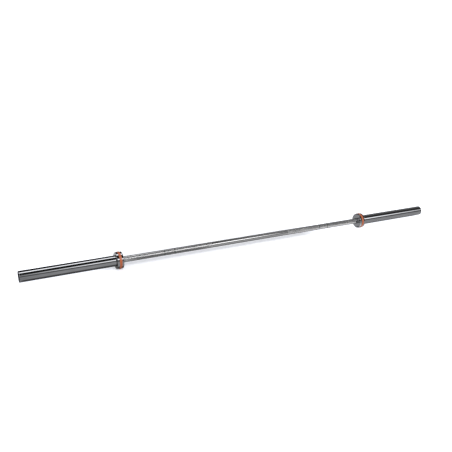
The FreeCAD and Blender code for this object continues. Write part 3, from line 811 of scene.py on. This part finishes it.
class BARBELL_OT_stage(bpy.types.Operator):
    """Set the floor, the lamp, the hood and cards that the chrome mirrors, and the camera"""

    bl_idname = "barbell.stage"
    bl_label = "Studio Stage"

    # Cards that only reflections show, placed for the photograph's camera. A flag is a card that is
    # darker than the floor. A row gives a name, the middle, length and width, the tilt about X and turn
    # about Z in degrees, the brightness, and the widths over which the left, right, lower and upper
    # edges fade out.
    cards = (
        ("front_card", (0.35, -2.026, 1.275), (2.7, 0.79), 57.5, 0, 9.0, (1.6, 0.5, 0.2, 0.2)),
        ("right_card", (1.25, -0.2085, 0.1375), (0.8, 0.095), 57.5, 0, 5.4, (0.01, 0.75, 0.02, 0.02)),
        ("upper_card", (1.525, -0.2, 2.4), (2.05, 2.8), 10, 0, 0.8, (1.3, 0.15, 1.0, 0.1)),
        ("left_card", (-2.9, -1.7, 1.7), (2.0, 1.2), 45, 0, 2.0, (0.1, 0.1, 0.1, 0.1)),
        ("neck_card", (-1.09, -1.7, 1.7), (0.34, 1.2), 45, 0, 10.0, (0.05, 0.05, 0.1, 0.1)),
        ("far_right_card", (4.7, -2.03, 1.275), (2.2, 0.8), 57.5, 0, 4.0, (0.4, 0.3, 0.2, 0.2)),
        ("far_back_card", (4.7, 2.03, 1.275), (2.2, 0.8), -57.5, 0, 4.0, (0.4, 0.3, 0.2, 0.2)),
        ("left_back_card", (-2.9, 2.03, 1.275), (3.2, 0.8), -57.5, 0, 4.0, (0.3, 0.4, 0.2, 0.2)),
        ("top_card", (-0.575, 0.24, 1.6), (1.85, 0.56), -7, 17, 5.2, (0.05, 0.6, 0.05, 0.05)),
        ("low_card", (0.43, -0.06, -0.0385), (0.54, 0.08), 0, 0, 2.2, (0.3, 0.02, 0.02, 0.01)),
        ("far_flag", (2.4, -1.7, -0.0385), (2.8, 2.7), 0, 0, 0.3, (0.6, 0.6, 0.5, 0.3)),
        ("low_flag", (-0.4, -0.2, -0.0385), (0.42, 0.36), 0, 0, 0.25, (0.05, 0.05, 0.05, 0.02)),
        # Dark sheet along the floor under the bar, seen only in the chrome: painted contact shadow.
        ("contact_flag", (0, -0.005, -0.0386), (2.2, 0.05), 0, 0, 0.45, (0.02, 0.02, 0.01, 0.01)),
        ("end_flag", (-1.15, 0.12, -0.0385), (0.2, 0.28), 0, 0, 0.03, (0.02, 0.02, 0.02, 0.02)),
        ("corner_flag", (-1.3, 0.03, -0.0382), (0.38, 0.46), 0, 0, 0.03, (0.05, 0.01, 0.05, 0.05)),
        ("side_flag", (-1.6, 0.1, 0.18), (0.95, 0.44), 90, 90, 0.03, (0.05, 0.05, 0.01, 0.05)),
        ("outer_flag", (-1.13, -0.128, -0.0383), (0.4, 0.165), 0, 0, 0.6, (0.1, 0.25, 0.05, 0.02)),
        # Dark sheet on the floor under the left sleeve and collar, seen only in the chrome: painted
        # shadow.
        ("sleeve_flag", (-0.8725, 0.025, -0.0384), (0.455, 0.14), 0, 0, 0.22, (0.02, 0.01, 0.01, 0.02)),
    )
    # Brightness of the hood by angle from the front over the top, at the left and at the right
    hood_left = ((0, 0.36), (20, 0.35), (44, 0.06), (80, 0.02), (112, 0.06), (180, 0.04))
    hood_right = ((0, 0.3), (20, 0.15), (46, 0.06), (85, 0.1), (120, 0.45), (180, 0.5))

    def execute(self, context):
        stage = context.scene.barbell_stage
        self.lay_floor(context.scene.barbell_colours)
        self.raise_hood()
        for row in self.cards:
            self.hang_card(Card(*row))
        self.hang_lamp(stage)
        self.set_world(context.scene)
        bpy.ops.object.camera_add(
            location=stage.camera_place,
            rotation=(math.pi / 2 - stage.camera_pitch, 0, -stage.camera_yaw))
        camera = context.object
        camera.data.sensor_width = SENSOR_WIDTH
        camera.data.lens = stage.camera_lens
        context.scene.camera = camera
        context.scene.view_settings.view_transform = "Standard"
        return {"FINISHED"}

    @staticmethod
    def background_rays(tree):
        """One for rays that should meet the white background: from the eye, the chrome or glass."""
        path = add_node(tree, "LightPath").outputs
        seen = add_node(tree, "Math", {
            0: path["Is Camera Ray"], 1: path["Is Glossy Ray"]}, operation="MAXIMUM")
        return add_node(tree, "Math", {0: seen, 1: path["Is Transmission Ray"]}, operation="MAXIMUM")

    def lay_floor(self, colours):
        """Pale floor under the bands: white to the eye and in the chrome, with the bar's shadow."""
        bpy.ops.object.select_all(action="DESELECT")
        bpy.ops.mesh.primitive_circle_add(vertices=ROUND_SEGMENTS, radius=FLOOR_RADIUS,
                                          fill_type="NGON", location=(0, 0, FLOOR_HEIGHT))
        floor = start_piece("floor")
        bpy.ops.object.transform_apply(location=True, rotation=True, scale=True)
        material, tree = new_material("Studio_paper_white")
        place = add_node(tree, "TexCoord").outputs["Object"]
        stretched = add_node(tree, "Mapping", {
            "Vector": place, "Location": OVAL_SHIFT, "Scale": OVAL_SCALE})
        reach = add_node(tree, "VectorMath", {0: stretched}, operation="LENGTH")
        fill = add_node(tree, "MapRange", {
            "Value": reach, "From Min": OVAL_REACH, "From Max": FULL_GLOW_REACH,
            "To Min": OVAL_GLOW, "To Max": FULL_GLOW})
        paper = add_node(tree, "BsdfDiffuse", {"Color": list(colours.paper)})
        glow = add_node(tree, "Emission", {"Color": list(colours.paper_glow), "Strength": fill})
        white = add_node(tree, "Emission", {"Strength": 1.0})
        shadowed = add_node(tree, "AddShader", {0: paper, 1: glow})
        path = add_node(tree, "LightPath").outputs
        background = add_node(tree, "MixShader", {0: path["Is Camera Ray"], 1: white, 2: shadowed})
        surface = add_node(tree, "MixShader", {0: self.background_rays(tree), 1: paper, 2: background})
        add_node(tree, "OutputMaterial", {"Surface": surface})
        floor.data.materials.append(material)

    @staticmethod
    def show_in_chrome_only(thing, material):
        """Put a thing on the stage, with its material, where only reflections see it."""
        thing.visible_camera = False
        thing.visible_diffuse = False
        thing.visible_shadow = False
        thing.data.materials.append(material)

    def raise_hood(self):
        """Dark cloth over the set, seen only in the chrome: black in front of and above the bar."""
        bpy.ops.object.select_all(action="DESELECT")
        bpy.ops.mesh.primitive_cylinder_add(
            vertices=ROUND_SEGMENTS, radius=HOOD_RADIUS, depth=HOOD_LENGTH, end_fill_type="NGON",
            rotation=LAID_ALONG_BAR, enter_editmode=True)
        hood = start_piece("hood")
        bpy.ops.mesh.select_all(action="SELECT")
        bpy.ops.mesh.bisect(plane_co=(0, 0, FLOOR_HEIGHT), plane_no=(0, 0, 1), clear_inner=True)
        bpy.ops.object.mode_set(mode="OBJECT")
        bpy.ops.object.transform_apply(location=True, rotation=True, scale=True)
        material, tree = new_material("Studio_hood_dark")
        place = add_node(tree, "TexCoord").outputs["Object"]
        parts = add_node(tree, "SeparateXYZ", {"Vector": place}).outputs
        forward = add_node(tree, "Math", {0: parts["Y"], 1: -1.0}, operation="MULTIPLY")
        angle = add_node(tree, "Math", {0: parts["Z"], 1: forward}, operation="ARCTAN2")
        turn = add_node(tree, "MapRange", {"Value": angle, "From Max": math.pi})
        ramps = []
        for stops in (self.hood_left, self.hood_right):
            ramp = add_node(tree, "ValToRGB", {"Fac": turn})
            points = ramp.color_ramp.elements
            points.remove(points[0])
            for number, (degrees, grey) in enumerate(stops):
                point = points[0] if number == 0 else points.new(degrees / 180)
                point.position = degrees / 180
                point.color = (grey, grey, grey, 1)
            ramps.append(ramp)
        sideways = add_node(tree, "MapRange", {
            "Value": parts["X"], "From Min": LEFT_GRADING_END, "From Max": RIGHT_GRADING_START})
        mixed = add_node(tree, "Mix", {"Factor": sideways, "A": ramps[0], "B": ramps[1]},
                         data_type="RGBA")
        cloth = add_node(tree, "Emission", {"Color": mixed})
        add_node(tree, "OutputMaterial", {"Surface": cloth})
        self.show_in_chrome_only(hood, material)
        ends, tree = new_material("Studio_hood_ends")
        place = add_node(tree, "TexCoord").outputs["Object"]
        height = add_node(tree, "SeparateXYZ", {"Vector": place}).outputs["Z"]
        rising = add_node(tree, "MapRange", {
            "Value": height, "From Min": ENDS_DARK_BELOW, "From Max": ENDS_BRIGHT_ABOVE,
            "To Min": ENDS_DARK, "To Max": ENDS_BRIGHT})
        cloth = add_node(tree, "Emission", {"Strength": rising})
        add_node(tree, "OutputMaterial", {"Surface": cloth})
        hood.data.materials.append(ends)
        for face in hood.data.polygons:
            faces_along_bar = abs(face.normal.x) > 0.5
            face.material_index = int(faces_along_bar)

    def hang_card(self, card):
        """White or grey card beside the bar, seen only in the chrome, that fades out at its edges."""
        bpy.ops.object.select_all(action="DESELECT")
        rotation = (math.radians(card.tilt), 0, math.radians(card.turn))
        bpy.ops.mesh.primitive_plane_add(size=1, location=card.middle, rotation=rotation)
        board = start_piece(card.name)
        board.scale = (*card.size, 1)
        material, tree = new_material(f"Studio_{card.name}")
        place = add_node(tree, "TexCoord").outputs["Object"]
        parts = add_node(tree, "SeparateXYZ", {"Vector": place}).outputs
        left, right, lower, upper = card.fades
        length_along, width = card.size
        # Object coordinates of the plane run from minus a half to a half, whatever its scale.
        edges = (("X", -0.5, left / length_along), ("X", 0.5, -right / length_along),
                 ("Y", -0.5, lower / width), ("Y", 0.5, -upper / width))
        fades = []
        for axis, edge, inward in edges:
            fades.append(add_node(tree, "MapRange", {
                "Value": parts[axis], "From Min": edge, "From Max": edge + inward}))
        shown = fades[0]
        for fade in fades[1:]:
            shown = add_node(tree, "Math", {0: shown, 1: fade}, operation="MULTIPLY")
        clear = add_node(tree, "BsdfTransparent")
        glow = add_node(tree, "Emission", {"Strength": card.brightness})
        surface = add_node(tree, "MixShader", {0: shown, 1: clear, 2: glow})
        add_node(tree, "OutputMaterial", {"Surface": surface})
        self.show_in_chrome_only(board, material)

    @staticmethod
    def hang_lamp(stage):
        """Long softbox in front of and above the bar; its shadow falls just behind the bar."""
        bpy.ops.object.light_add(type="AREA", location=LAMP_PLACE, rotation=(LAMP_TILT, 0, 0))
        lamp = bpy.context.object
        lamp.name = "softbox"
        lamp.data.shape = "RECTANGLE"
        lamp.data.size = LAMP_LENGTH
        lamp.data.size_y = LAMP_WIDTH
        lamp.data.energy = stage.lamp_power
        lamp.visible_camera = False
        lamp.visible_glossy = False

    def set_world(self, scene):
        """White to the eye and in the chrome, and a soft even light on the rest."""
        world = bpy.data.worlds.new("Studio")
        scene.world = world
        world.use_nodes = True
        tree = world.node_tree
        tree.nodes.clear()
        strength = add_node(tree, "MapRange", {
            "Value": self.background_rays(tree), "To Min": SKY_ON_PIECES, "To Max": SKY_TO_EYE})
        sky = add_node(tree, "Background", {"Color": linear("#FFFFFF"), "Strength": strength})
        add_node(tree, "OutputWorld", {"Surface": sky})


class BARBELL_PT_panel(bpy.types.Panel):
    """Lists the steps that dress the bar"""

    bl_idname = "BARBELL_PT_panel"
    bl_label = "Barbell"
    bl_space_type = "VIEW_3D"
    bl_region_type = "UI"
    bl_category = "Barbell"

    def draw(self, context):
        for operator in OPERATORS:
            self.layout.operator(operator.bl_idname)


GROUPS = {
    "barbell_shaft": BarbellShaft,
    "barbell_sleeve": BarbellSleeve,
    "barbell_colours": BarbellColours,
    "barbell_stage": BarbellStage,
}
OPERATORS = (
    BARBELL_OT_shaft,
    BARBELL_OT_collars,
    BARBELL_OT_sleeves,
    BARBELL_OT_bands,
    BARBELL_OT_end_caps,
    BARBELL_OT_circlips,
    BARBELL_OT_inner_works,
    BARBELL_OT_stage,
)


def register():
    """Register the classes and hang the properties on the scene."""
    for group in (*GROUPS.values(), *OPERATORS, BARBELL_PT_panel):
        bpy.utils.register_class(group)
    for name, group in GROUPS.items():
        setattr(bpy.types.Scene, name, PointerProperty(type=group))


def unregister():
    """Take the properties off the scene and unregister the classes."""
    for name in GROUPS:
        delattr(bpy.types.Scene, name)
    for group in (BARBELL_PT_panel, *reversed(OPERATORS), *GROUPS.values()):
        bpy.utils.unregister_class(group)


def main():
    """Dress the bar step by step."""
    register()
    bpy.ops.barbell.shaft()
    bpy.ops.barbell.collars()
    bpy.ops.barbell.sleeves()
    bpy.ops.barbell.bands()
    bpy.ops.barbell.end_caps()
    bpy.ops.barbell.circlips()
    bpy.ops.barbell.inner_works()
    bpy.ops.barbell.stage()


if __name__ == "__main__":
    main()
